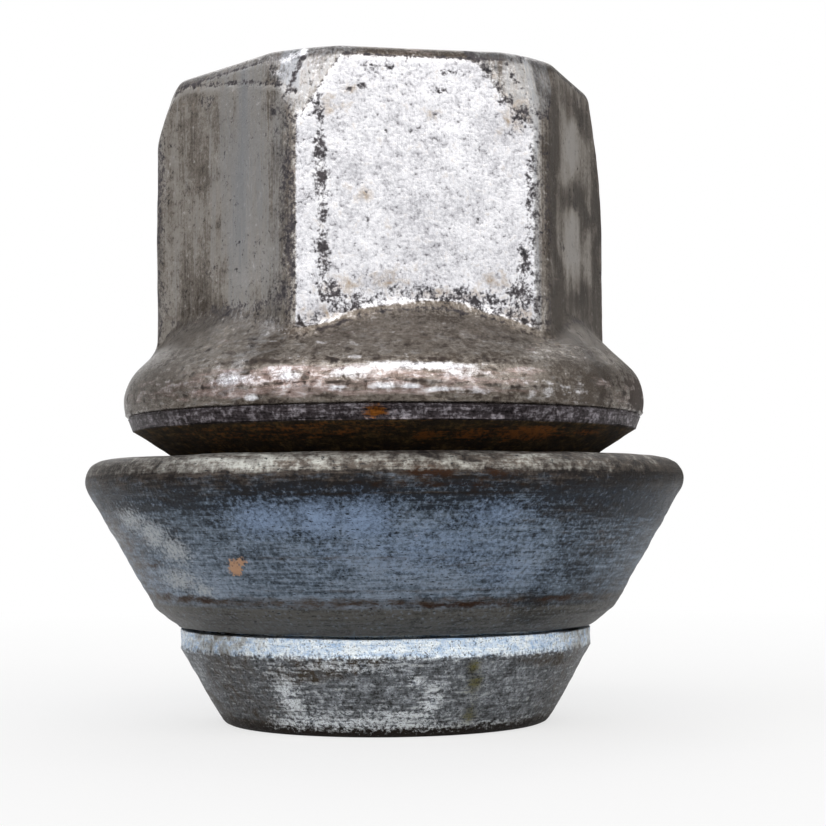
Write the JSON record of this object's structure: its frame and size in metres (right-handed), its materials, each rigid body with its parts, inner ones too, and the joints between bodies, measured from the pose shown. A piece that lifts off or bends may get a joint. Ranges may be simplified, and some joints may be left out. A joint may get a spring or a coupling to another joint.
{
  "type": "wheel nut",
  "caption": "Closed hexagonal wheel nut with a thin steel cap, a round flange, a tapered nose and a captive conical seat washer that turns on its shank; worn and lightly rusted.",
  "frame": {"origin": "centre of the nose end, on the thread axis, where the nut stands", "axes": "+Z along the thread axis from the nose end to the closed end; two hexagon flats face -Y and +Y, two corners point along -X and +X"},
  "size_m": [0.0324, 0.0324, 0.0344],
  "materials": {
    "forged_steel": "machined steel, bright on the nose and rust-brown under the flange",
    "cap_steel": "drawn stainless sheet, satin and scuffed, with grime along its edges",
    "washer_steel": "turned and zinc coated steel, dull blue-grey with worn and rusted patches"
  },
  "bodies": {
    "nut": {"nut_body": "forged_steel", "steel_cap": "cap_steel"},
    "washer": {"seat_washer": "washer_steel"}
  },
  "joints": [
    {"name": "washer_spin", "type": "hinge", "parent": "nut", "child": "washer", "pos_m": [0, 0, 0.0096], "axis": [0, 0, 1], "continuous": true}
  ]
}
